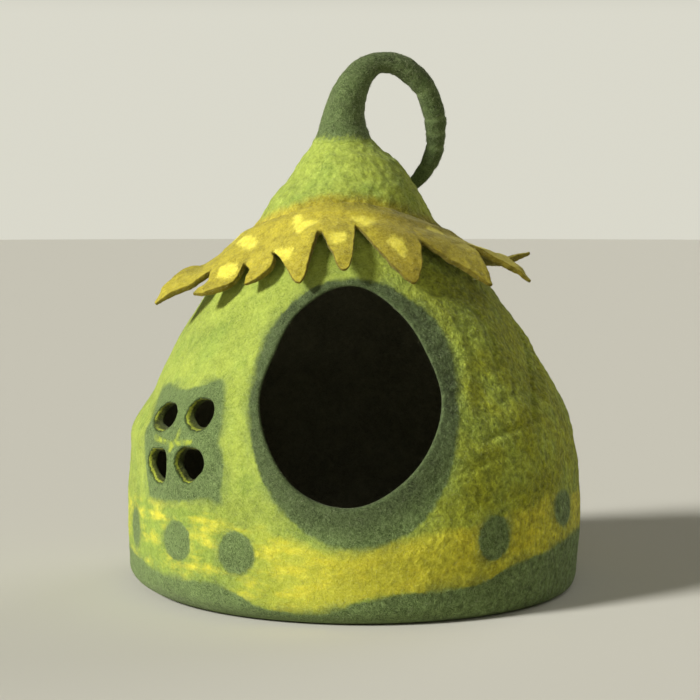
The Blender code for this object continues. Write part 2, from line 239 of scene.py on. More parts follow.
def wallPlaces(azimuth, at, out):
    # places from azimuth, distance down the profile and distance out of the face
    height = onProfile(profileHeight, at)
    raised = np.clip(height / wall["floorCorner"], 0, 1)
    lean = raised * leanAt(height) + (1 - raised) ** 2 * wall["floorLean"]
    radius = onProfile(profileRadius, at) + raised * dentsAt(azimuth, height)
    radius = radius + out * onProfile(normalOut, at)
    x, y, _ = facing(azimuth).T
    return np.column_stack([lean + radius * x, radius * y, height + out * onProfile(normalUp, at)])


def alongAt(height, out=0.0):
    # distance down the profile of the place at a height, on the face or an offset of it
    side = profileHeight > 0.5  # all but the floor
    levels = (profileHeight + out * normalUp)[side][::-1]
    return np.interp(height, levels, along[side][::-1])


def cutAnchor(name):
    # where the middle of a cut lies: how far across, in which direction, and its height
    azimuth, height, *_ = cuts[name]
    across = facing(azimuth + 90)[:2]
    x = wall["doorCentreX"] if name == "door" else leanAt(height)
    return x * across[0], across, height


def cutReach(name, turn):
    reach = cuts[name][2]
    return roundCurve(evenTurns(len(reach)), reach, turn)


def pastCut(name, places):
    # how far outside a cut's outline each place lies, seen straight through the cut
    anchor, across, height = cutAnchor(name)
    side, up = places[:, :2] @ across - anchor, places[:, 2] - height
    past = np.hypot(side, up) - cutReach(name, np.degrees(np.arctan2(side, up)) % 360)
    return np.where(places @ facing(cuts[name][0]) > 0, past, 1e3)


def cutRing(name, beyond, out):
    # azimuth and distance down the profile of the points round a cut
    azimuth, height, _, count, _ = cuts[name]
    anchor, across, _ = cutAnchor(name)
    turn = evenTurns(count)
    reach = cutReach(name, turn) + beyond
    side, up = reach * np.sin(np.radians(turn)), reach * np.cos(np.radians(turn))
    at = alongAt(height + up, out)
    level = onProfile(profileHeight, at)
    smooth = onProfile(profileRadius, at) + out * onProfile(normalOut, at)
    offset = side + anchor - leanAt(level) * across[0]
    ringAzimuth = np.full(count, float(azimuth))
    for _ in range(6):  # the dents change with the azimuth, so it settles in a few rounds
        radius = smooth + dentsAt(ringAzimuth, level)
        ringAzimuth = azimuth + np.degrees(np.arcsin(np.clip(offset / radius, -1, 1)))
    return ringAzimuth, at


# the unevenness of hand-felted wool

felt = {
    # size of the lumps and how high they stand
    "lumps": [(62, 0.9), (27, 0.55), (13, 0.40), (7.5, 0.22)],
    "uneven": (0.75, 0.5),  # share of the finer lumps on the left, and how much more on the right
    # small pebbles on the cone: size, height, the heights where they start and are full
    "pebbles": (7.5, 1.35, 350, 366),
    # crimps on the right side: size, height, where they start, are full, begin to end and end
    "crimps": (8.0, 1.0, 70, 130, 320, 350),
    "foldDepth": 2.1,
    # creases and ridges: height over the cloth, half width, and (azimuth, height) points
    "folds": [
        (-1.5, 3.6, [(82, 268), (77, 240), (72, 229), (61, 202), (56, 189), (52, 172)]),
        (1.0, 5.0, [(88, 262), (83, 236), (77, 216), (68, 196), (62, 178)]),
        (-1.3, 3.4, [(33, 164), (40.7, 170.5), (48, 173)]),
        (-1.0, 3.6, [(27, 138), (37, 150), (49, 153)]),
        (-0.9, 4.0, [(43, 196), (50, 203), (60, 206)]),
        (0.8, 6.0, [(34, 286), (36.7, 262), (36, 235), (34, 208), (30.5, 190)]),
        (-0.9, 4.0, [(49, 284), (52, 262), (49, 238), (47, 222)]),
        (-0.9, 4.0, [(64, 128), (72, 141), (84, 146)]),
        (-1.1, 4.0, [(118, 236), (126, 210), (128, 180), (137, 158)]),
        (-1.0, 4.0, [(152, 120), (166, 131), (182, 128)]),
        (-1.2, 4.2, [(-172, 230), (-164, 205), (-160, 172)]),
        (-1.0, 4.0, [(-136, 176), (-124, 168), (-112, 171)]),
        (-0.8, 4.0, [(-98, 246), (-94, 222), (-96, 203)]),
        (-0.6, 4.5, [(-30, 292), (-27, 268), (-29, 246)]),
    ],
}


def rightSide(azimuth):
    return smoothStep(-10, 45, azimuth) * smoothStep(175, 120, azimuth)


def wallRelief(azimuth, at, places):
    # how far the wool stands out of the smooth wall
    height, radius = onProfile(profileHeight, at), onProfile(profileRadius, at)
    right = rightSide(azimuth)
    # all but the broadest lumps are flatter on the left and higher on the right
    broad, *finer = lumpsOn(places, felt["lumps"], (0, 4.1, 7.7), (11.3, 0, 0))
    least, more = felt["uneven"]
    relief = broad + sum(finer) * (least + more * right)
    size, rise, start, full = felt["pebbles"]
    cone = np.flatnonzero(height > start)
    front = 0.35 + 0.65 * smoothStep(-70, -5, azimuth[cone])
    relief[cone] += rise * waves(places[cone], size) * front * smoothStep(start, full, height[cone])
    size, rise, start, full, ebb, end = felt["crimps"]
    crimped = right * smoothStep(start, full, height) * smoothStep(end, ebb, height)
    some = np.flatnonzero(crimped > 0)
    relief[some] += rise * waves(places[some] * (1, 1, 1.5), size) * crimped[some]
    for rise, halfWidth, line in felt["folds"]:
        lineAzimuth, lineHeight = np.array(line, float).T
        middle = lineAzimuth.mean()
        near = (abs(turnBetween(azimuth, middle)) < 30) & (height > 100)
        sideways = np.radians(turnBetween(azimuth[near], middle)) * radius[near]
        spots = np.column_stack([sideways, -at[near]])
        sideways = np.radians(lineAzimuth - middle) * radiusAt(lineHeight)
        flat = np.column_stack([sideways, -alongAt(lineHeight)])
        ends = np.minimum(*[np.linalg.norm(spots - end, axis=1) for end in (flat[0], flat[-1])])
        crease = felt["foldDepth"] * rise * np.exp(-((besideLine(spots, flat) / halfWidth) ** 2))
        relief[near] += crease * smoothStep(-2, 12, ends)
    # the foot stays flat
    return relief * smoothStep(2, 30, height)


def onFelt(azimuth, height, off):
    # places at a height on the uneven wall, this far off it
    at = alongAt(height)
    return wallPlaces(azimuth, at, wallRelief(azimuth, at, wallPlaces(azimuth, at, 0.0)) + off)


# the seam where the collar is felted on to the cone

seam = {"side": 357.0, "frontRise": 24.0, "backRise": 8.0}


def seamHeight(azimuth):
    ahead = np.cos(np.radians(azimuth))
    return seam["side"] + np.where(ahead > 0, seam["frontRise"], seam["backRise"]) * ahead**2


# where each colour of wool lies on the wall, in azimuth and height

dye = {
    "patch": [
        (-69.6, 192.6), (-69.1, 201.9), (-64.3, 206.6), (-58, 204.9), (-53.5, 204.9),
        (-49.8, 206.8), (-45.5, 210.4), (-42.2, 215.9), (-39.6, 215.5), (-38, 208.6),
        (-36.7, 201.3), (-35.7, 189.7), (-35, 176.4), (-34.6, 163), (-33.4, 154.8),
        (-32.7, 146.4), (-32.7, 120.5), (-33.1, 107.3), (-36, 110.6), (-39.6, 110.1),
        (-41.4, 107.7), (-46.1, 104.7), (-51.5, 103), (-58.7, 102.8), (-59.8, 109.6),
        (-61.5, 121.4), (-62.8, 134.5), (-64, 147.7), (-65.2, 159), (-65.2, 169.8),
        (-66, 178.5), (-68.2, 186.7),
    ],
    "patchMiddle": 160,
    # the patch lies within these azimuths and heights
    "patchReach": ((-85, -20), (60, 260)),
    "cross": [
        [(-58.5, 159), (-54.5, 157), (-50, 156), (-47, 158), (-43.5, 160)],
        [(-48.4, 168), (-48.6, 163), (-49.4, 156), (-50.6, 150)],
    ],
    "bandTop": [
        (-180, 101), (-160, 93), (-140, 99), (-120, 106), (-100, 98), (-80, 96), (-62, 99.2),
        (-46, 98.5), (-31.9, 96.5), (-24.5, 86.3), (-15.1, 79.8), (-5.5, 71), (1.2, 72.5),
        (7.9, 77.4), (19, 85.2), (30.5, 88.9), (41.3, 95.6), (54.9, 103.9), (71.4, 98),
        (90, 92), (110, 99), (130, 107), (150, 100), (166, 96),
    ],
    "bandFoot": [
        (-180, 42), (-160, 50), (-140, 47), (-120, 36), (-100, 33), (-80, 41), (-66.9, 39.8),
        (-56.5, 33.2), (-46, 32.1), (-35.5, 32.5), (-29, 26.5), (-23.8, 17.2), (-15.7, 11.8),
        (-8.2, 13.4), (1.3, 23.4), (10.9, 30), (22.5, 31.8), (31.8, 35.5), (39.6, 46.5),
        (52.3, 53.2), (70.8, 60.7), (90, 56), (110, 45), (130, 40), (150, 47), (166, 44),
    ],
    # dots: azimuth, height, half width round, half height, tilt
    "dots": [
        (-68.2, 68, 3.4, 18.5, 2), (-46.8, 67, 4.9, 19.0, -2), (-28.2, 63.4, 4.9, 20.0, -6),
        (34.5, 75.5, 4.7, 20.5, 10), (61.9, 89.5, 5.2, 17.5, 6), (88, 70, 4.6, 18, -5),
        (115, 74, 5.0, 20, 7), (143, 69, 4.8, 18.5, -3), (171, 73, 5.2, 19.5, 5),
        (-161, 73, 4.7, 18.5, -8), (-133, 68, 5.1, 20, 4), (-104, 66, 4.8, 18, -4),
    ],
    # the ring round the door, seen from the front: x, height
    "ring": [
        (-3, 309.5), (-32, 304), (-60, 285), (-85, 249), (-96, 201), (-93, 166), (-83, 132),
        (-62, 102), (-31, 80), (-2, 73), (32, 78), (63, 97), (84, 132), (93, 166), (95, 200),
        (90, 240), (75, 271), (47, 294), (24, 305),
    ],
    "ringReach": 130,
}


def wallMarks(azimuth, at, out, places, core):
    height = onProfile(profileHeight, at)
    turned = turnBetween(azimuth, 0)
    top, foot = (roundCurve(*np.array(dye[edge]).T, turned) for edge in ("bandTop", "bandFoot"))
    green = foot - height
    (left, right), (low, high) = dye["patchReach"]
    near = (turned > left) & (turned < right) & (height > low) & (height < high)
    stretch = (np.radians(1) * radiusAt(dye["patchMiddle"]), 1)
    spots = np.column_stack([turned, height])[near] * stretch
    green[near] = np.maximum(green[near], insideBy(spots, softLoop(np.array(dye["patch"]) * stretch)))
    cross = np.full(len(places), 20.0)
    cross[near] = np.minimum(*[besideLine(spots, np.array(line) * stretch) for line in dye["cross"]])
    ahead = (places[:, 1] < 0) & (abs(places[:, 0]) < dye["ringReach"])
    green[ahead] = np.maximum(green[ahead], insideBy(places[ahead][:, [0, 2]], softLoop(dye["ring"])))
    door = np.full(len(places), 99.0)
    door[ahead] = pastCut("door", places[ahead])
    for dotAzimuth, dotHeight, halfWidth, halfHeight, tilt in dye["dots"]:
        side = turnBetween(turned, dotAzimuth) * np.radians(1) * onProfile(profileRadius, at)
        lift = height - dotHeight
        cos, sin = math.cos(math.radians(tilt)), math.sin(math.radians(tilt))
        halfSide = np.radians(halfWidth) * radiusAt(dotHeight)
        size = np.hypot((side * cos - lift * sin) / halfSide, (side * sin + lift * cos) / halfHeight)
        green = np.maximum(green, (1 - size) * min(halfSide, halfHeight))
    # how rough the wool is on the right side and the cone: it raises the bumps and the painted shade in
    # their gaps
    rough = rightSide(turned) * smoothStep(380, 340, height) + 0.3 * smoothStep(340, 365, height)
    return {
        "band": np.minimum(top - height, height - foot), "green": green, "cross": cross, "door": door,
        "seam": height - seamHeight(turned), "rough": rough, "core": core, "depth": -out,
    }


# the wall's mesh: a fine face outside, a coarse one inside, and rolled lips round the cuts

wallMesh = {
    "outerSpacing": 3.1,
    "coneShare": 0.55,  # of that spacing, above coneFoot
    "coneFoot": 354,
    "innerSpacing": 9.0,
    "floorSpacing": 15.0,
    "neckPoints": 96,
    "hubPoints": 18,
    "lipSteps": 4,
    "innerLip": 2.0,
    # the small windows' walls are thicker and draw in: distance beyond the outline, and depth in
    # wall thicknesses
    "windowLip": [(-0.9, 0.65), (-2.3, 1.0), (-2.0, 1.25), (-0.4, 1.4), (1.6, 1.25)],
}


def wallSheet(spacing, out, beyond):
    # one face of the wall, cut out at the door and windows
    floorStart = along[profileHeight > 0.01][-1]
    neck, hub = evenTurns(wallMesh["neckPoints"]), evenTurns(wallMesh["hubPoints"])
    rings = [(neck, 0 * neck), (hub, 0 * hub + along[-1])]
    rings += [cutRing(name, beyond[name], out) for name in cuts]
    azimuths, ats = [], []
    at, turn = 0.5 * spacing, 0.0
    coneFoot = alongAt(wallMesh["coneFoot"])
    while at < along[-1] - 0.6 * wallMesh["floorSpacing"]:
        step = spacing if at < floorStart else wallMesh["floorSpacing"]
        if at < coneFoot:
            step = spacing * wallMesh["coneShare"]
        count = max(14, round(2 * math.pi * float(onProfile(profileRadius, at)) / step))
        azimuths.append((np.arange(count) + turn % 1) * 360 / count)
        ats.append(np.full(count, at))
        at += 0.866 * step  # rows of even triangles
        turn += 0.382
    azimuth, at = np.concatenate(azimuths), np.concatenate(ats)
    places = wallPlaces(azimuth, at, out)
    keep = np.ones(len(at), bool)
    for name in cuts:
        keep &= pastCut(name, places) > beyond[name] + 0.6 * spacing
    azimuth = np.concatenate([ring[0] for ring in rings] + [azimuth[keep]])
    at = np.concatenate([ring[1] for ring in rings] + [at[keep]])
    flat = facing(azimuth)[:, :2] * (np.exp(np.interp(at, along, flatReach)) * 4)[:, None]
    edges, loops, start = [], [], 0
    owner = np.full(len(flat), -1)
    for number, ring in enumerate(rings):
        loop = np.arange(start, start + len(ring[0]))
        edges += list(zip(loop.tolist(), np.roll(loop, -1).tolist()))
        loops.append(loop)
        owner[loop] = number
        start += len(loop)
    points, _, faces, *_ = delaunay_2d_cdt([Vector(p) for p in flat.tolist()], edges, [], 0, 1e-7, False)
    if len(points) != len(flat):
        raise SystemExit("the wall's points merged: widen their spacing")
    faces = np.array(faces)
    # a triangle whose corners are all on the neck's ring or one cut's ring may fill its hole
    owners = owner[faces]
    same = (owners[:, 0] == owners[:, 1]) & (owners[:, 1] == owners[:, 2]) & (owners[:, 0] >= 0)
    drop = same & (owners[:, 0] == 0)
    for number in range(2, len(loops)):
        mine = np.flatnonzero(same & (owners[:, 0] == number))
        centres = flat[faces[mine]].mean(axis=1)
        drop[mine[insideBy(centres, flat[loops[number]]) > 0]] = True
    return azimuth, at, faces[~drop], loops


def makeWall():
    thick, inner = wall["thickness"], wallMesh["innerLip"]
    lips = {name: row[4] for name, row in cuts.items()}
    rows, faces, loops = [], [], []

    def addRow(azimuth, at, out, core):
        start = sum(map(len, rows))
        rows.append(np.column_stack([azimuth, at, np.full(len(at), out), np.full(len(at), core)]))
        return start

    for spacing, out, beyond in (
        (wallMesh["outerSpacing"], 0.0, lips),
        (wallMesh["innerSpacing"], -thick, dict.fromkeys(cuts, inner)),
    ):
        azimuth, at, triangles, rims = wallSheet(spacing, out, beyond)
        start = addRow(azimuth, at, out, 0.0)
        faces.append((triangles[:, ::-1] if out else triangles) + start)
        loops.append([rim + start for rim in rims])
    outer, inside = loops
    bridges = [(outer[0], inside[0])]
    for number, (name, lip) in enumerate(lips.items()):
        turns = [math.pi / 2 * (step + 1) / wallMesh["lipSteps"] for step in range(wallMesh["lipSteps"])]
        section = [(lip * (1 - math.sin(turn)), -lip * (1 - math.cos(turn))) for turn in turns]
        if name == "door":
            section += [(0.0, inner - thick), (0.3 * inner, 0.3 * inner - thick)]
        else:
            section += [(beyond, -depth * thick) for beyond, depth in wallMesh["windowLip"]]
        before = outer[number + 2]
        for beyond, out in section:
            azimuth, at = cutRing(name, beyond, out)
            row = addRow(azimuth, at, out, 0.0 if name == "door" else 1.0) + np.arange(len(at))
            bridges.append((before, row))
            before = row
        bridges.append((before, inside[number + 2]))
    azimuth, at, out, core = np.concatenate(rows).T
    for upper, lower in bridges:
        turnedIn = np.column_stack([np.roll(upper, -1), np.roll(lower, -1), lower, upper])
        faces += [turnedIn[:, [0, 1, 2]], turnedIn[:, [0, 2, 3]]]
    relief = wallRelief(azimuth, at, wallPlaces(azimuth, at, out))
    relief *= 1 - smoothStep(0, thick, -out) * 0.6  # the inside is smoother
    places = wallPlaces(azimuth, at, out + relief)
    marks = wallMarks(azimuth, at, out, places, core)
    for loop, height, flip in ((outer[1], 0.0, False), (inside[1], thick, True)):
        fan = np.column_stack([loop, np.roll(loop, -1), np.full(len(loop), len(places))])
        faces.append(fan[:, ::-1] if flip else fan)
        places = np.vstack([places, [wall["floorLean"], 0.0, height]])
        marks = {label: np.append(values, values[loop[0]]) for label, values in marks.items()}
    places[:, 2] = np.maximum(places[:, 2], 0.0)
    return makeObject("feltedWall", places, np.concatenate(faces), marks)


print("felting the wall")
feltedWall = makeWall()
print("wall", len(feltedWall.data.vertices), len(feltedWall.data.polygons))


# the leaf collar: one cut sheet, felted on along its upper edge

collar = {
    "thickness": 5.8,
    "feather": (0.05, 16.0),  # its share at the seam, and how far below the seam it is full
    "hug": 17.0,
    "hugOff": 1.9,
    "centreX": -6.0,
    "tipRound": 1.5,  # length of the rounded end, as a share of the half width
    "notchHalfWidth": 1.2,
    "columns": 24,
    "ringRows": 20,
    "bladeRows": 36,
    "rowBunch": 1.7,
    "tipThin": 0.5,
    "edgeRound": 0.9,
    "flatWidth": 0.40,
    "flatLength": 0.38,
    # tip azimuth, radius, height; notch azimuth, radius, height; arch, bow, waist; half width
    # at the tip, and how steeply the leaf tilts across
    "leaves": [
        (-178, 172, 300, -167, 124, 325, 3, 3, 0.20, 3.2, 0.00),
        (-154, 180, 291, -143, 130, 320, 5, -3, 0.20, 3.0, 0.08),
        (-130, 187, 298, -118, 138, 317, 3, 0, 0.25, 3.4, -0.05),
        (-104, 184, 301, -90, 140, 312, 2, -2, 0.35, 3.6, -0.10),
        (-73.6, 193.3, 280.5, -63, 146, 310, 7, 12, -0.10, 4.6, -0.30),
        (-57.6, 173.6, 291.4, -47, 131, 318, -4, 11, -0.25, 5.0, -0.20),
        (-39.8, 149.5, 302.4, -33, 124, 330, 0, 16, -0.45, 5.2, -0.12),
        (-17.6, 150.8, 305.1, -13.5, 111, 349, 1, 2, 0.05, 4.6, -0.05),
        (-1.2, 148, 317.1, 4.5, 101, 354, 0, 1, 0.05, 5.0, 0.00),
        (25, 145.5, 304, 34, 121, 340, -1, 3, -0.20, 4.4, 0.10),
        (55, 165.5, 300, 64, 127, 334, 1, 1, -0.10, 1.7, 0.18),
        (76, 183, 301.5, 87, 137, 325, 4, 0, 0.00, 1.5, 0.22),
        (102, 190, 326, 116, 137, 322, -4, 2, 0.20, 1.9, 0.05),
        (128, 184, 297, 139, 131, 322, 5, 0, 0.20, 3.0, 0.06),
        (153, 175, 306, 167, 126, 327, 3, -3, 0.15, 3.2, -0.06),
    ],
    # yellow felted spots: azimuth and radius of the points round each
    "spots": [
        [
            (-34, 88), (-29.5, 88), (-25.5, 92), (-18, 93.5), (-17, 100), (-20.5, 106), (-24.5, 109),
            (-28.5, 101),
        ],
        [(-65, 114), (-71, 107.5), (-60, 105), (-50.5, 109), (-48.5, 114), (-54, 118)],
        [(-57.0, 145.5), (-58.4, 140), (-56, 134.5), (-51, 133.5), (-49.2, 137.4), (-52.5, 143)],
        [(-32.5, 123.5), (-28.6, 122.6), (-23.6, 124.5), (-23.4, 129.6), (-25.8, 132.5), (-29.7, 127.5)],
        [(-8.0, 115.5), (-5.7, 112), (-1.6, 111.5), (-0.7, 116.5), (-2.8, 122.5), (-6.0, 124)],
        [(2.6, 91), (7.0, 89.5), (13.2, 91), (14.6, 97.5), (11.4, 101), (6.4, 99.5)],
        [(18.7, 114.4), (21.9, 112.8), (25, 117.8), (25.5, 125), (23.4, 128), (20.8, 121.5)],
        [(48, 99), (55, 97), (60, 102), (57, 108), (50, 107)],
        [(69, 130), (74, 127), (79, 131), (77, 140), (71, 139)],
        [(92, 98), (100, 96), (105, 102), (101, 109), (94, 106)],
        [(110, 133), (114, 128), (119, 131), (118, 139), (112, 141)],
        [(128, 109), (135, 106), (140, 111), (136, 118), (130, 116)],
        [(149, 132), (153, 128), (157, 132), (155, 141), (150, 140)],
        [(166, 103), (173, 100), (178, 105), (174, 112), (168, 110)],
        [(-176, 134), (-171, 130), (-167, 136), (-170, 143), (-175, 142)],
        [(-156, 106), (-149, 103), (-144, 108), (-148, 115), (-154, 113)],
        [(-134, 136), (-130, 131), (-126, 135), (-127, 143), (-132, 144)],
        [(-116, 107), (-109, 104), (-104, 109), (-108, 116), (-114, 114)],
        [(-98, 139), (-94, 134), (-89, 137), (-90, 145), (-96, 146)],
        [(-91, 103), (-84, 101), (-80, 106), (-84, 112), (-90, 110)],
    ],
    "noSpot": -30.0,  # far outside every spot
    "lumps": [(34, 0.8), (14, 0.35), (7, 0.22)],
    # how far the sheet wanders: size and reach, and where in the noise each axis is read
    "wander": [(11, 0.9), (4.5, 0.6)],
    "wanderShifts": [(31.3, 5.7, 8.1), (2.9, 47.6, 13.2), (17.4, 9.8, 23.5)],
}
leafTable = np.array(collar["leaves"], float)
# the rows of a leaf's blade, from 0 at the notches to 1 at the tip
bladeSteps = 1 - (1 - np.linspace(0, 1, collar["bladeRows"] + 1)[1:]) ** collar["rowBunch"]


def plan(azimuth, radius):
    return radius * facing(azimuth)[:2]


def ringStrip(azimuths):
    # places down the sheet's ring for a few azimuths, from the seam to the notches
    axis = (collar["centreX"], 0, 0)
    height = seamHeight(azimuths)
    top = onFelt(azimuths, height, -0.5) - axis
    low = wallPlaces(azimuths, alongAt(height - collar["hug"]), 0.0) - axis
    low = low + facing(azimuths) * collar["hugOff"]
    notchRadius, notchHeight = (roundCurve(leafTable[:, 3], leafTable[:, k], azimuths) for k in (4, 5))
    tipRadius, tipHeight = (roundCurve(leafTable[:, 0], leafTable[:, k], azimuths) for k in (1, 2))
    topRadius, lowRadius = (np.hypot(*ring[:, :2].T) for ring in (top, low))
    keys = np.array([topRadius, lowRadius, notchRadius, tipRadius])
    levels = np.array([top[:, 2], low[:, 2], notchHeight, tipHeight])
    down = np.linspace(0, 1, collar["ringRows"] + 1)[:, None]
    strips = []
    for azimuth, start, key, level in zip(azimuths, top[:, :2], keys.T, levels.T):
        spots = start + (plan(azimuth, key[2]) - start) * down
        strips.append(np.column_stack([spots, softCurve(key, level, np.hypot(*spots.T))]))
    return np.array(strips), (levels[2] - levels[1]) / (keys[2] - keys[1])


def leafSide(notch, end, middle, bow, waist, t):
    control = (notch + end) / 2
    control = control + (middle - control) * waist + bow
    return (1 - t) ** 2 * notch + 2 * t * (1 - t) * control + t * t * end


def leafGrid(before, leaf):
    # the underside of one leaf with its share of the ring; columns close up at both edges
    tipAzimuth, tipRadius, tipHeight, notchAzimuth, notchRadius, _, arch, bow, waist, halfTip, tilt = leaf
    gap = math.degrees(collar["notchHalfWidth"] / notchRadius)
    first = tipAzimuth - turnBetween(tipAzimuth, before[3]) + gap
    last = tipAzimuth + turnBetween(notchAzimuth, tipAzimuth) - gap
    share = smoothStep(0, 1, np.linspace(0, 1, collar["columns"] + 1))
    rings, slopes = ringStrip(first + (last - first) * share)
    notches, foots = rings[:, -1, :2], rings[:, -1, 2]
    start, end = notches[0], notches[-1]
    tip, foot = plan(tipAzimuth, tipRadius), (start + end) / 2
    middle = (foot + tip) / 2
    reach = np.linalg.norm(tip - foot)
    onward = (tip - foot) / reach
    side = np.array([-onward[1], onward[0]]) * halfTip
    bowed = (end - start) / np.linalg.norm(end - start) * bow
    rounded = collar["tipRound"] * halfTip / reach
    offLine = notches - (start + (end - start) * share[:, None])
    rows = []
    for t in bladeSteps:
        near = leafSide(start, tip - side, middle, bowed, waist, t)
        far = leafSide(end, tip + side, middle, bowed, waist, t)
        past = np.clip((t - 1 + rounded) / rounded, 0, 1)
        narrow = math.sqrt(1 - (0.975 * past) ** 2)
        centre = (near + far) / 2
        near, far = centre + (near - centre) * narrow, centre + (far - centre) * narrow
        spot = near + (far - near) * share[:, None] + offLine * (1 - t) ** 2
        height = easedBetween(t, foots, slopes * reach, tipHeight, tipHeight - foots)
        across = (share - 0.5) * np.linalg.norm(far - near)
        height = height + arch * 4 * t * (1 - t) + tilt * across * smoothStep(0, 0.45, t)
        rows.append(np.column_stack([spot, height]))
    grid = np.concatenate([rings, np.array(rows).transpose(1, 0, 2)], axis=1)
    return grid + (collar["centreX"], 0, 0)


def makeCollar():
    ringRows = collar["ringRows"]
    grids = np.array([leafGrid(leafTable[k - 1], leafTable[k]) for k in range(len(leafTable))])
    places = grids.reshape(-1, 3)
    total = len(places)
    index = np.arange(total).reshape(grids.shape[:3])
    ring = np.arange(ringRows)
    faces, edges, away = [], [], []
    for number, own in enumerate(index):
        quads = np.stack([own[:-1, :-1], own[:-1, 1:], own[1:, 1:], own[1:, :-1]], axis=-1)
        last, onward, before = own[-1], index[(number + 1) % len(index)][0], index[number - 1][-1]
        faces.append(quads.reshape(-1, 4))
        faces.append(np.column_stack([last[ring], last[ring + 1], onward[ring + 1], onward[ring]]))
        up, down = own[0, ringRows:], last[ringRows:][::-1]
        chain = np.concatenate([before[ringRows:][::-1], up, own[:, -1], down, onward[ringRows:]])
        away.append(besideLine(places[own.ravel()], places[chain]))
        outline = np.concatenate([up, own[1:-1, -1], down, onward[ringRows:ringRows + 1]])
        edges.append(np.column_stack([outline[:-1], outline[1:]]))
        edges.append(np.column_stack([own[1:, 0], own[:-1, 0]]))
        edges.append([(onward[0], last[0])])
    faces, edges, away = map(np.concatenate, (faces, edges, away))
    flat = bpy.data.meshes.new("underside")
    flat.from_pydata(places.tolist(), [], faces.tolist())
    normals = np.array([v.vector[:] for v in flat.vertex_normals])
    bpy.data.meshes.remove(flat)
    if normals[:, 2].mean() < 0:
        raise SystemExit("the collar's faces point down")
    reached = np.linalg.norm(np.diff(grids, axis=2), axis=3).cumsum(axis=2)
    fromSeam = np.pad(reached, ((0, 0), (0, 0), (1, 0))).ravel()
    wander = sum(
        reach * np.column_stack([waves(places, size, shift) for shift in collar["wanderShifts"]])
        for size, reach in collar["wander"]
    )
    wander *= smoothStep(10, 30, fromSeam)[:, None]
    # the broadest lumps keep off the seam
    broad, *finer = lumpsOn(places, collar["lumps"], (3.3, 0, 5.2), (0, 8.1, 0))
    lift = broad * smoothStep(8, 40, fromSeam) + sum(finer)
    thinner = collar["tipThin"] * smoothStep(0.7, 1, bladeSteps)
    taper = np.concatenate([np.ones(ringRows + 1), 1 - thinner])
    seamShare, full = collar["feather"]
    thick = collar["thickness"] * (seamShare + (1 - seamShare) * smoothStep(0, full, fromSeam))
    thick *= np.tile(taper, len(grids) * (collar["columns"] + 1))
    # both faces roll towards each other at the cut edges
    edge = collar["edgeRound"] * smoothStep(8, 20, fromSeam)
    inward = np.clip(away / np.maximum(edge, 1e-6), 0, 1)
    rolled = edge * (1 - np.sqrt(1 - (1 - inward) ** 2))
    low = places + wander + normals * (lift * 0.6 + 0.8 * rolled)[:, None]
    high = places + wander + normals * (lift + thick - rolled)[:, None]
    sides = np.column_stack([edges[:, 0], edges[:, 0] + total, edges[:, 1] + total, edges[:, 1]])
    spots = np.full(total, collar["noSpot"])
    for outline in collar["spots"]:
        outline = softLoop([plan(azimuth, radius) for azimuth, radius in outline])
        spots = np.maximum(spots, insideBy(places[:, :2] - (collar["centreX"], 0), outline))
    cut = (1 - smoothStep(0, 1, away)) * smoothStep(12, 26, fromSeam)
    marks = {
        "spot": np.append(np.full(total, collar["noSpot"]), spots),
        "cut": np.tile(cut, 2),
        "fromSeam": np.tile(fromSeam, 2),
    }
    everyFace = np.concatenate([faces[:, ::-1], faces + total, sides])
    return makeObject("leafCollar", np.concatenate([low, high]), everyFace, marks)


print("cutting the collar")
leafCollar = makeCollar()
print("collar", len(leafCollar.data.vertices), len(leafCollar.data.polygons))


# the curled stem: a felted roll, with a thin foot that laps over the neck

stem = {
    # x, y, height, radius
    "joints": [
        (-11.0, 0, 441.4, 28.8), (-11.0, 0, 447, 26.2), (-11.0, 0, 456, 23.0), (-9.8, 0, 467, 20.6),
        (-6.2, 0, 482, 18.4), (-0.5, 1, 496, 16.2), (9.0, 2, 509, 13.4), (22.0, 4, 517, 11.0),
        (36.0, 7, 518, 10.7), (50.0, 10, 513, 11.4), (64.0, 14, 502, 11.6), (74.5, 19, 486, 11.1),
        (80.5, 24, 469, 11.3), (82.5, 29, 452, 10.2), (82.0, 35, 435, 9.2), (77.5, 41, 421, 8.8),
        (70.0, 47, 409, 7.9), (61.0, 54, 398, 7.0), (52.5, 61, 389, 6.2), (45.0, 68, 382, 4.6),
        (41.0, 72, 379, 2.6),
    ],
    "sides": 60,
    "rowStep": 1.6,
    # the foot: radii of its underside, where its outer edge and the neck's rim lie below the neck,
    # and how far that edge is frayed up and down
    "footRadii": (14, 28.4),
    "footDrop": 3.0,
    "rimDrop": 0.6,
    "fray": 2.2,
    "lap": 0.35,
    "lumps": [(19, 0.7), (9, 0.6), (4.5, 0.40)],
    # where a wisp of wool is wound round: distance along, half width, depth
    "wisps": [
        (148, 2.4, 0.5), (178, 1.9, 1.0), (193, 1.8, 0.6), (207, 1.8, 0.8), (232, 2.2, 0.5),
        (258, 2.4, 0.5),
    ],
}


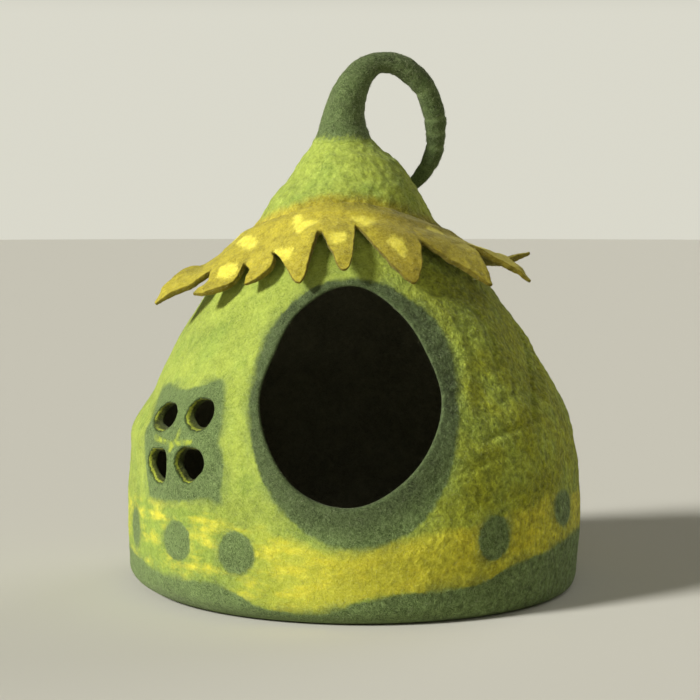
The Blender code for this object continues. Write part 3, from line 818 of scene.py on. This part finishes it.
def makeStem():
    joints = np.array(stem["joints"], float)
    reached = np.append(0, np.linalg.norm(np.diff(joints[:, :3], axis=0), axis=1).cumsum())
    rows = np.linspace(0, reached[-1], int(reached[-1] / stem["rowStep"]))
    *centres, radius = (softCurve(reached, joints[:, k], rows) for k in range(4))
    centres = np.column_stack(centres)
    ahead = np.gradient(centres, axis=0)
    ahead /= np.linalg.norm(ahead, axis=1)[:, None]
    count, lap = stem["sides"], stem["lap"]
    azimuth = evenTurns(count)
    spokes = facing(azimuth)
    side = np.array([1.0, 0.0, 0.0])
    rings = []
    for centre, forward, wide in zip(centres, ahead, radius):
        side = side - forward * (side @ forward)
        side /= np.linalg.norm(side)
        back = np.cross(forward, side)
        rings.append(centre + wide * (spokes[:, :1] * side + spokes[:, 1:2] * back))
    body = np.array(rings)
    out = (body - centres[:, None]) / radius[:, None, None]
    lumps = sum(lumpsOn(body.reshape(-1, 3), stem["lumps"], (6.1, 2.2, 0), (0, 0, 9.4)))
    # flatter where the roll is thin
    lift = lumps.reshape(body.shape[:2]) * np.minimum(1, radius / 9)[:, None]
    for place, halfWidth, depth in stem["wisps"]:
        lift -= depth * np.exp(-(((rows - place) / halfWidth) ** 2))[:, None]
    body = body + out * (lift * smoothStep(0, 8, rows)[:, None])[:, :, None]
    fray = waves(spokes * (3, -3, 0) + (0, 0, 0.4), 1)
    footHeight = wall["neckHeight"] - stem["footDrop"] + stem["fray"] * fray
    rimHeight = np.full(count, wall["neckHeight"] - stem["rimDrop"])
    neckTop = centres[0] + (0, 0, 0.3)
    foot = [neckTop + reach * spokes for reach in stem["footRadii"]] + [
        onFelt(azimuth, height, off) for height, off in (
            (rimHeight, 0.12), (footHeight, 0.08), (footHeight + 0.1, 0.3),
            ((footHeight + rimHeight) / 2, lap), (rimHeight, lap + 0.1),
        )
    ]
    grid = np.concatenate([np.array(foot), body[1:]])
    index = np.arange(len(grid) * count).reshape(-1, count)
    after = np.roll(index, -1, axis=1)
    quads = np.stack([index[:-1], after[:-1], after[1:], index[1:]], axis=-1).reshape(-1, 4)
    places = np.vstack([grid.reshape(-1, 3), [neckTop, centres[-1] + ahead[-1] * radius[-1] * 0.7]])
    base, tip = len(places) - 2, len(places) - 1
    faces = quads.tolist() + [(base, b, a) for a, b in zip(index[0], after[0])]
    faces += [(a, b, tip) for a, b in zip(index[-1], after[-1])]
    length = np.concatenate([np.full(len(foot), -1.0), rows[1:]])
    wisp = np.zeros(len(length))
    for place, halfWidth, _ in stem["wisps"]:
        wisp = np.maximum(wisp, np.exp(-(((length - place) / (halfWidth * 1.3)) ** 2)))
    marks = {
        "wisp": np.append(np.repeat(wisp, count), [0, 0]),
        "root": np.append(np.repeat(1 - smoothStep(14, 22, length), count), [1, 0]),
    }
    return makeObject("curledStem", places, faces, marks)


print("rolling the stem")
curledStem = makeStem()
print("stem", len(curledStem.data.vertices), len(curledStem.data.polygons))


# dyed wool, painted from places on the cloth and the marks kept at its points

class Shade:
    # what one output of a node gives; sums and products of it add more nodes
    def __init__(self, tree, socket):
        self.tree, self.socket = tree, socket

    def math(self, operation, *others):
        return put(self.tree, "Math", dict(enumerate((self, *others))), operation=operation)

    def __add__(self, other):
        return self.math("ADD", other)

    def __sub__(self, other):
        return self.math("SUBTRACT", other)

    def __mul__(self, other):
        return self.math("MULTIPLY", other)

    def __truediv__(self, other):
        return self.math("DIVIDE", other)

    def __abs__(self):
        return self.math("ABSOLUTE")


def put(tree, kind, inputs, output=0, **settings):
    node = tree.nodes.new("ShaderNode" + kind)
    for key, value in settings.items():
        setattr(node, key, value)
    for key, value in inputs.items():
        if isinstance(value, Shade):
            tree.links.new(value.socket, node.inputs[key])
        else:
            node.inputs[key].default_value = value
    return Shade(tree, node.outputs[output])


def fade(value, low, high):
    # 0 at low and 1 at high
    inputs = {"Value": value, "From Min": low, "From Max": high}
    return put(value.tree, "MapRange", inputs, interpolation_type="SMOOTHSTEP")


def blend(share, first, second):
    return put(share.tree, "Mix", {0: share, 6: first, 7: second}, 2, data_type="RGBA")


def mark(where, name):
    return put(where.tree, "Attribute", {}, "Fac", attribute_name=name)


def coordinate(where, axis):
    return put(where.tree, "SeparateXYZ", {0: put(where.tree, "TexCoord", {}, "Object")}, axis)


def noiseAt(where, scale, detail, output="Fac", roughness=0.5):
    inputs = {"Vector": where, "Scale": scale, "Detail": detail, "Roughness": roughness}
    return put(where.tree, "TexNoise", inputs, output)


def cloud(where, size, detail=2.0):
    # soft noise from 0 to 1 whose waves are this many millimetres long
    return noiseAt(where, 1 / (size * mm), detail)


def sway(where, size, reach):
    # signed noise in millimetres
    return (cloud(where, size) - 0.5) * reach


def drawnOut(where, sizes, turn=(0, 0, 0)):
    # places counted in waves that are this many millimetres long on each axis
    inputs = {"Vector": where, "Rotation": turn, "Scale": [size * mm for size in sizes]}
    return put(where.tree, "Mapping", inputs, vector_type="TEXTURE")


# each wool as a screen shows it: the dark of its gaps, its main colour and its lightest strands
dyes = {
    "lime": [(104, 122, 36), (162, 178, 70), (198, 208, 116)],
    # moss is wool of its own, and also painted shade on the right side and under the leaves
    "moss": [(78, 80, 2), (148, 150, 14), (198, 200, 60)],
    "grass": [(84, 112, 34), (134, 160, 62), (176, 196, 104)],
    "yellow": [(180, 172, 34), (218, 210, 56), (240, 232, 110)],
    # painted shade of the yellow band on the right side
    "shadedMustard": [(124, 114, 2), (188, 176, 8), (220, 208, 60)],
    "green": [(38, 52, 20), (84, 103, 54), (148, 168, 106)],
    "olive": [(122, 108, 18), (188, 173, 46), (222, 211, 104)],
    "spot": [(206, 188, 44), (238, 226, 78), (252, 246, 138)],
    # ring: painted shade on the wall beside the door
    "ring": [(22, 30, 12), (64, 76, 42), (126, 140, 98)],
    "stem": [(20, 28, 8), (60, 73, 35), (132, 147, 98)],
    # seam: a darker olive, painted shade of the crease along the collar's seam
    "seam": [(92, 86, 14), (152, 142, 34), (194, 184, 80)],
    # deep: painted shade on the collar's right side
    "deep": [(72, 60, 12), (126, 110, 30), (172, 156, 66)],
    "cut": [(56, 48, 8), (104, 92, 22), (152, 138, 56)],
    "rim": [(96, 106, 22), (182, 194, 60), (214, 222, 106)],
    "core": [(18, 22, 7), (56, 64, 21), (118, 128, 56)],
    "inside": [(84, 82, 66), (124, 122, 98), (150, 148, 124)],
    "stray": [(226, 230, 180)],
}


def asLight(colour):
    parts = [value / 255 for value in colour]
    return tuple(p / 12.92 if p < 0.04 else ((p + 0.055) / 1.055) ** 2.4 for p in parts) + (1.0,)


wool = {name: [asLight(colour) for colour in colours] for name, colours in dyes.items()}

# what every piece's wool has; sizes in millimetres
cloth = {
    "turn": (0.6, 0.8, 0.4),  # the noises are turned, so that none lines up with the object
    # strands: width, length, strength
    "strands": [(1.5, 13.0, 1.0), (2.6, 22.0, 0.7)],
    "strandTurns": [
        (0, 0, 0), (0, 1.57, 0.3), (0, 0.75, 0.5), (0, -0.8, -0.4), (0.4, 0.3, 1.57), (0.5, 0.9, 1.4),
    ],
    "strandBend": (9, 10),  # size and reach
    "strandWidth": (0.022, 0.002),
    "strandHeight": 0.07,
    "strayShare": 0.35,
    "crumbs": (3.4, 0.75),  # size and height
    "grain": (1.1, 0.40),
    # the least share of a colour that the painted shade in the gaps leaves
    "darkest": 0.3,
    "roughness": 0.95,
    "sheen": 0.10,
}


def fibreField(where, width, length):
    # a tangle of thin light strands: the ridges of noises drawn out in several directions
    size, reach = cloth["strandBend"]
    bend = noiseAt(where, 1 / (size * mm), 1.0, "Color")
    bend = put(where.tree, "VectorMath", {0: bend, 1: [0.5] * 3}, operation="SUBTRACT")
    inputs = {0: bend, 1: [reach * mm] * 3, 2: where}
    bent = put(where.tree, "VectorMath", inputs, operation="MULTIPLY_ADD")
    best = None
    for turn in cloth["strandTurns"]:
        ridge = abs(noiseAt(drawnOut(bent, (length, width, width), turn), 1.0, 0.0) - 0.5)
        best = ridge if best is None else best.math("MINIMUM", ridge)
    return fade(best, *cloth["strandWidth"])


def woolMaterial(name, paint, pebbleSize, pebbleHeight):
    made = bpy.data.materials.new(name)
    made.use_nodes = True
    tree = made.node_tree
    tree.nodes.clear()
    place = put(tree, "TexCoord", {}, "Object")
    where = put(tree, "Mapping", {"Vector": place, "Rotation": cloth["turn"]})
    fine, coarse = (fibreField(where, width, length) * share for width, length, share in cloth["strands"])
    fibres = fine.math("MAXIMUM", coarse)
    # stray fibres over the cloth are the lightest
    colour = blend(mark(where, "stray") * cloth["strayShare"], paint(where, fibres), wool["stray"][0])
    # painted shade: the gaps between the pebbles are darker than their crowns, most where the wool is
    # rough
    (crumbSize, crumbHeight), (grainSize, grainHeight) = cloth["crumbs"], cloth["grain"]
    pebbles, crumbs = cloud(where, pebbleSize), cloud(where, crumbSize, 3.0)
    rough = mark(where, "rough")
    level = pebbles * 0.65 + crumbs * 0.35 - 0.5
    shade = (level * (rough * 2.1 + 0.5) + 1.0).math("MAXIMUM", cloth["darkest"])
    colour = put(tree, "VectorMath", {0: colour, "Scale": shade}, operation="SCALE")
    # bumps in millimetres
    height = (pebbles * pebbleHeight + crumbs * crumbHeight) * (rough * 1.9 + 0.6)
    height = height + cloud(where, grainSize, 1.0) * grainHeight + fibres * cloth["strandHeight"]
    surface = put(tree, "BsdfPrincipled", {
        "Base Color": colour, "Roughness": cloth["roughness"], "Specular IOR Level": 0.12,
        "Sheen Weight": cloth["sheen"], "Sheen Roughness": 0.5, "Sheen Tint": (0.95, 1.0, 0.7, 1.0),
        "Normal": put(tree, "Bump", {"Height": height, "Distance": mm, "Strength": 1.0}),
    })
    tree.links.new(surface.socket, tree.nodes.new("ShaderNodeOutputMaterial").inputs[0])
    return made


def felted(detail, fibres, name, showing=0.40):
    # a layer of one wool; showing: how much of the lightest strands lies on top
    deep, main, light = wool[name]
    return blend(fibres * showing, blend(detail, deep, main), light)


def unevenness(where, broadSize, broadShare):
    # 0 in the dark gaps, 1 where the wool lies thick
    broad = fade(cloud(where, broadSize, 3.0), 0.34, 0.62)
    coarse = fade(cloud(where, 9.0, 3.0), 0.32, 0.66)
    grain = fade(cloud(where, 2.1), 0.30, 0.66)
    return broad * broadShare + (coarse * 0.42 + grain * 0.58) * (1 - broadShare)


def softEdge(where, distance, least, most):
    # 1 inside a patch of wool; its edge is sharp in places and runs out in others
    width = fade(cloud(where, 38), 0.40, 0.66) * (most - least) + least
    return fade(distance / width, -1.0, 1.0)


# where each change of wool starts and is full: x and z in metres, the others in millimetres
wallPaint = {
    # towards the right side, which gets painted shade in its wool
    "right": (-0.06, 0.15),
    "misty": (0.03, -0.16),
    # painted shadow under the leaves on the right: where it starts and is full across, at its foot and at
    # its top
    "leafShadowX": (0.04, 0.12),  # the leaves on the right lie over it
    "leafShadowFoot": (0.235, 0.300),
    "leafShadowTop": (0.352, 0.340),
    # where the darker seam wool, painted shade of the crease along the seam, fades in towards the right
    "seamX": (-0.07, 0.01),
    "seamBelow": (15.0, 2.0),
    "seamAbove": (-12.0, -6.0),
    "streaks": (30, 30, 12),
    "bandEdge": (2.5, 12.0),
    "patchEdge": (1.5, 4.5),
    "haze": (-13.0, 1.0),
    "shadeBesideDoor": (38.0, 8.0),
    "cross": (3.2, 0.0),
    # how deep in a window's cut edge its painted shade on the lip starts, its rim starts, the rim is
    # bright, and the inside's wool starts
    "lip": (-0.6, 1.4),
    "rim": (0.9, 2.2),
    "bright": (4.6, 2.4),
    "inside": (4.9, 6.0),
}


def paintWall(where, fibres):
    detail = unevenness(where, 46, 0.34)
    layer = partial(felted, detail, fibres)
    x, z = coordinate(where, 0), coordinate(where, 2)
    across = {key: fade(x, *wallPaint[key]) for key in ("right", "misty", "leafShadowX", "seamX")}
    right = across["right"]
    strand = fibres * 1.2 - 0.4
    wander = sway(where, 5.0, 5.0) + sway(where, 18.0, 11.0) + strand
    tight = sway(where, 4.0, 3.4) + sway(where, 12.0, 5.0) + strand
    # lime wool, with moss and grass in it at random; the extra moss and the lesser grass towards
    # the right are painted shade of the shadow side
    hue = cloud(where, 36, 4.0)
    mossAndShadeShare = (fade(hue, 0.38, 0.66) * 0.34 + right * 0.54) * (right * 0.75 + 0.25)
    grassy = fade(hue, 0.50, 0.32) * (right * -0.16 + 0.38)
    colour = blend(mossAndShadeShare, layer("lime"), layer("moss"))
    colour = blend(grassy, colour, layer("grass"))
    # painted shadow: darker moss on the wall under the collar's leaves on the right
    paintedLeafShadow = fade(z, *wallPaint["leafShadowFoot"]) * fade(z, *wallPaint["leafShadowTop"])
    colour = blend(paintedLeafShadow * across["leafShadowX"] * 0.42, colour, wool["moss"][0])
    # the collar's wool runs out below its seam; on the front and right it is the darker seam wool,
    # painted shade of the crease along the seam
    above = mark(where, "seam")
    feather = above + sway(where, 14.0, 12.0) + fibres * 4.0
    olive = fade(feather, *wallPaint["seamBelow"]) * fade(above, *wallPaint["seamAbove"])
    colour = blend(olive, colour, blend(across["seamX"], layer("olive"), layer("seam")))
    # the yellow band, with streaks of grass wool drawn along it
    drawn = drawnOut(put(where.tree, "TexCoord", {}, "Object"), wallPaint["streaks"])
    streaks = fade(noiseAt(drawn, 1.0, 4.0, roughness=0.6), 0.25, 0.57)
    # painted shade: the band darkens towards the right
    yellow = blend(right * 0.6, layer("yellow"), layer("shadedMustard"))
    yellow = blend((across["misty"] * 0.72 + 0.20) * streaks, yellow, layer("grass"))
    band = mark(where, "band") + wander
    colour = blend(softEdge(where, band, *wallPaint["bandEdge"]), colour, yellow)
    # green wool, with a haze of it beyond its edges, and painted shade round the door
    patch, green = mark(where, "green"), layer("green", 0.62)
    haze = fade(cloud(where, 22, 3.0), 0.36, 0.60) * fade(patch + wander, *wallPaint["haze"])
    colour = blend(haze * 0.50, colour, green)
    # painted shade: darker ring wool near the door's cut edge
    green = blend(fade(mark(where, "door"), *wallPaint["shadeBesideDoor"]) * 0.82, green, layer("ring"))
    colour = blend(softEdge(where, patch + tight, *wallPaint["patchEdge"]), colour, green)
    cross = mark(where, "cross") + sway(where, 6.0, 3.5) - fibres
    loose = fade(cloud(where, 8.0), 0.38, 0.58) * 0.46 + 0.20
    colour = blend(fade(cross, *wallPaint["cross"]) * loose, colour, wool["rim"][1])
    # the windows' cut edges: painted shade on the rolled lip, then a bright rim over the core
    cut, below = mark(where, "core"), mark(where, "depth")
    depth = below + sway(where, 2.6, 3.2) + sway(where, 12.0, 3.6)
    colour = blend(cut * fade(depth, *wallPaint["lip"]), colour, wool["green"][0])
    bright = fade(depth, *wallPaint["bright"]) * fade(cloud(where, 17), 0.34, 0.54)
    rim = blend(bright, felted(fade(detail, 0.25, 0.85), fibres, "core"), layer("rim"))
    colour = blend(cut * fade(depth, *wallPaint["rim"]), colour, rim)
    within = fade(below, *wallPaint["inside"]) * (cut * -1.0 + 1.0)
    return blend(within, colour, layer("inside"))


collarPaint = {
    # the wool is deeper on the right side, which is painted shade, and along the cut edges
    "right": (-0.005, 0.055),
    "farRight": (0.075, 0.115),
    # how far from the seam the darker seam wool, painted shade of the crease, starts and is full
    "seam": (22.0, 2.0),
    "spotEdge": (-2.2, 2.8),
}


def paintCollar(where, fibres):
    layer = partial(felted, unevenness(where, 20, 0.30), fibres)
    x = coordinate(where, 0)
    right = fade(x, *collarPaint["right"]) * (fade(x, *collarPaint["farRight"]) * -0.6 + 1.0)
    # painted shade: darker seam wool near the seam on the front and right, in the crease where the collar
    # meets the cone
    atSeam = fade(mark(where, "fromSeam") + sway(where, 14, 14.0), *collarPaint["seam"])
    colour = blend(atSeam * fade(x, *wallPaint["seamX"]) * 0.9, layer("olive"), layer("seam"))
    # painted shade: deeper wool on the right side, less at the far right
    colour = blend(right * 0.58, colour, layer("deep"))
    colour = blend(mark(where, "cut") * 0.82, colour, layer("cut"))
    spot = fade(mark(where, "spot") + sway(where, 5.0, 3.5) + fibres, *collarPaint["spotEdge"])
    # painted shade: the spots are fainter towards the right
    return blend(spot * (right * -0.30 + 0.95), colour, layer("spot"))


stemPaint = {
    "down": (0.045, 0.080),  # deeper where it comes down again
    "low": (0.524, 0.488),
    "foot": (448.0, 440.0),  # fades into the wool of the neck
}


def paintStem(where, fibres):
    layer = partial(felted, unevenness(where, 15, 0.35), fibres)
    x, z = coordinate(where, 0), coordinate(where, 2)
    colour = blend(fade(x, *stemPaint["down"]) * 0.55, layer("stem", 0.60), wool["stem"][0])
    colour = blend(fade(z, *stemPaint["low"]) * 0.50, colour, layer("green", 0.60))
    colour = blend(mark(where, "wisp") * 0.22, colour, wool["green"][2])
    foot = z / mm + sway(where, 3.4, 12.0) + sway(where, 11.0, 9.0) + fibres * 2.5
    return blend(mark(where, "root") * fade(foot, *stemPaint["foot"]), colour, layer("lime"))


# stray fibres: thin closed hairs that lie over the felt

strays = {
    # how many, shortest and longest in millimetres
    "feltedWall": (11500, 3.5, 9.0),
    "leafCollar": (6000, 2.5, 6.0),
    "curledStem": (3200, 2.5, 6.0),
    "radius": 0.065,
    "lowest": 9.5,  # none grow near the underside
    "deepest": 2.0,  # nor far inside the cuts
    "rootDepth": 0.3,
    "curl": 0.30,
}


def readAll(items, field, kind, width=3):
    values = np.empty(len(items) * width, kind)
    items.foreach_get(field, values)
    return values


def strayFibres(piece):
    count, shortest, longest = strays[piece.name]
    mesh = piece.data
    mesh.calc_loop_triangles()
    corners = readAll(mesh.loop_triangles, "vertices", np.int64).reshape(-1, 3)
    places = readAll(mesh.vertices, "co", float).reshape(-1, 3) / mm
    marks = {
        layer.name: readAll(layer.data, "value", np.float32, 1)
        for layer in mesh.attributes if layer.data_type == "FLOAT" and layer.domain == "POINT"
    }
    a, b, c = (places[corners[:, k]] for k in range(3))
    cross = np.cross(b - a, c - a)
    area = np.linalg.norm(cross, axis=1)
    weight = area * (a[:, 2] > strays["lowest"])
    if "depth" in marks:
        weight = weight * (marks["depth"][corners[:, 0]] < strays["deepest"])
    pick = dice.choice(len(area), count, p=weight / weight.sum())
    u, v = dice.random((2, count))
    u, v = np.where(u + v > 1, 1 - u, u), np.where(u + v > 1, 1 - v, v)
    shares = np.column_stack([1 - u - v, u, v])
    root = np.einsum("nk,nkd->nd", shares, places[corners[pick]])
    normal = cross[pick] / area[pick, None]
    side = np.cross(normal, dice.normal(size=(count, 3)))
    side /= np.linalg.norm(side, axis=1)[:, None]
    turned = np.cross(normal, side)
    length = (shortest + (longest - shortest) * dice.random(count) ** 1.6)[:, None]
    curl = dice.normal(0, strays["curl"], (count, 1))
    rise = 0.12 + 0.75 * dice.random((count, 1)) ** 2.2
    end = rise * dice.random((count, 1)) * 1.4
    # along its length, how much of its curl it has, and how high it stands
    spine = [root - strays["rootDepth"] * normal]
    for far, bent, level in ((0.30, 0.25, rise), (0.68, 0.30, rise), (1.00, -0.10, end)):
        spine.append(root + length * (far * side + bent * curl * turned) + normal * level)
    spine = np.stack(spine, axis=1)
    angles = np.radians(evenTurns(3))[:, None]
    around = np.cos(angles) * normal[:, None, :] + np.sin(angles) * turned[:, None, :]
    sizes = strays["radius"] * np.array([1.0, 1.0, 0.8])
    rings = spine[:, :3, None, :] + around[:, None] * sizes[:, None, None]
    points = np.concatenate([rings.reshape(count, 9, 3), spine[:, 3:]], axis=1)
    pattern = [(0, 2, 1), (6, 7, 9), (7, 8, 9), (8, 6, 9)]
    for low in (0, 3):
        for k in range(3):
            a, b = low + k, low + (k + 1) % 3
            pattern += [(a, b, b + 3), (a, b + 3, a + 3)]
    faces = (np.arange(count)[:, None, None] * 10 + np.array(pattern)).reshape(-1, 3)
    kept = {
        label: np.repeat(np.einsum("nk,nk->n", shares, values[corners[pick]]), 10)
        for label, values in marks.items()
    }
    kept["stray"] = np.ones(count * 10)
    fibres = makeObject(piece.name + "Strays", points.reshape(-1, 3), faces, kept)
    fibres.parent = piece
    return fibres


for piece, node, paint, pebbleSize, pebbleHeight in (
    (feltedWall, "cave_wall", paintWall, 6.0, 1.1),
    (leafCollar, "leaf_collar", paintCollar, 5.0, 0.8),
    (curledStem, "curled_stem", paintStem, 5.0, 0.9),
):
    fibres = strayFibres(piece)
    woolFelt = woolMaterial(piece.name + "Wool", paint, pebbleSize, pebbleHeight)
    for part in (piece, fibres):
        part.data.materials.append(woolFelt)
    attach(piece, "root")
    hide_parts(node)
print("wool dyed")


# a pale floor, soft studio light and the camera

stage = {
    "floorReach": 14.0,
    "floorPoints": 64,
    "floorColour": (0.58, 0.56, 0.48, 1),
    # the sky is pale along the horizon and dimmer above it
    "horizonColour": (0.70, 0.69, 0.60, 1),
    "skyColour": (0.085, 0.08, 0.05, 1),
    "horizon": (0.09, 0.15),
    # azimuth and elevation it comes from, strength, apparent size in degrees
    "suns": [(-60, 30, 4.55, 12), (0, 38, 0.25, 40), (136, 24, 0.8, 40)],
    "sunsAway": 3,
    "lens": 97.71,
    "camera": (-0.004, -1.9, 0.39),
    "aim": (-0.004, 0, 0.232),
}


def standAt(thing, place, aim=(0, 0, 0)):
    # a lamp or camera at this place, turned to look at its aim
    holder = bpy.data.objects.new(thing.name, thing)
    holder.location = place
    holder.rotation_euler = (Vector(place) - Vector(aim)).to_track_quat("Z", "Y").to_euler()
    bpy.context.scene.collection.objects.link(holder)
    return holder


def makeStage():
    ring = facing(180 - evenTurns(stage["floorPoints"])) * stage["floorReach"]
    mesh = bpy.data.meshes.new("paleFloor")
    mesh.from_pydata(ring.tolist(), [], [tuple(range(len(ring) - 1, -1, -1))])
    floor = bpy.data.objects.new("paleFloor", mesh)
    bpy.context.scene.collection.objects.link(floor)
    pale = bpy.data.materials.new("paleFloorPaint")
    pale.use_nodes = True
    surface = pale.node_tree.nodes["Principled BSDF"]
    surface.inputs["Base Color"].default_value = stage["floorColour"]
    surface.inputs["Roughness"].default_value = 0.9
    mesh.materials.append(pale)
    for number, (azimuth, elevation, strength, width) in enumerate(stage["suns"]):
        light = bpy.data.lights.new(f"softLight{number}", "SUN")
        light.energy = strength
        light.angle = math.radians(width)
        standAt(light, facing(azimuth, elevation) * stage["sunsAway"])
    world = bpy.data.worlds.new("paleSky")
    world.use_nodes = True
    tree = world.node_tree
    rise = put(tree, "SeparateXYZ", {0: put(tree, "TexCoord", {}, "Generated")}, 2)
    shade = blend(fade(rise, *stage["horizon"]), stage["horizonColour"], stage["skyColour"])
    tree.links.new(shade.socket, tree.nodes["Background"].inputs["Color"])
    bpy.context.scene.world = world
    bpy.context.scene.view_settings.view_transform = "Standard"
    lens = bpy.data.cameras.new("camera")
    lens.lens = stage["lens"]
    lens.clip_end = 60
    bpy.context.scene.camera = standAt(lens, stage["camera"], stage["aim"])


makeStage()
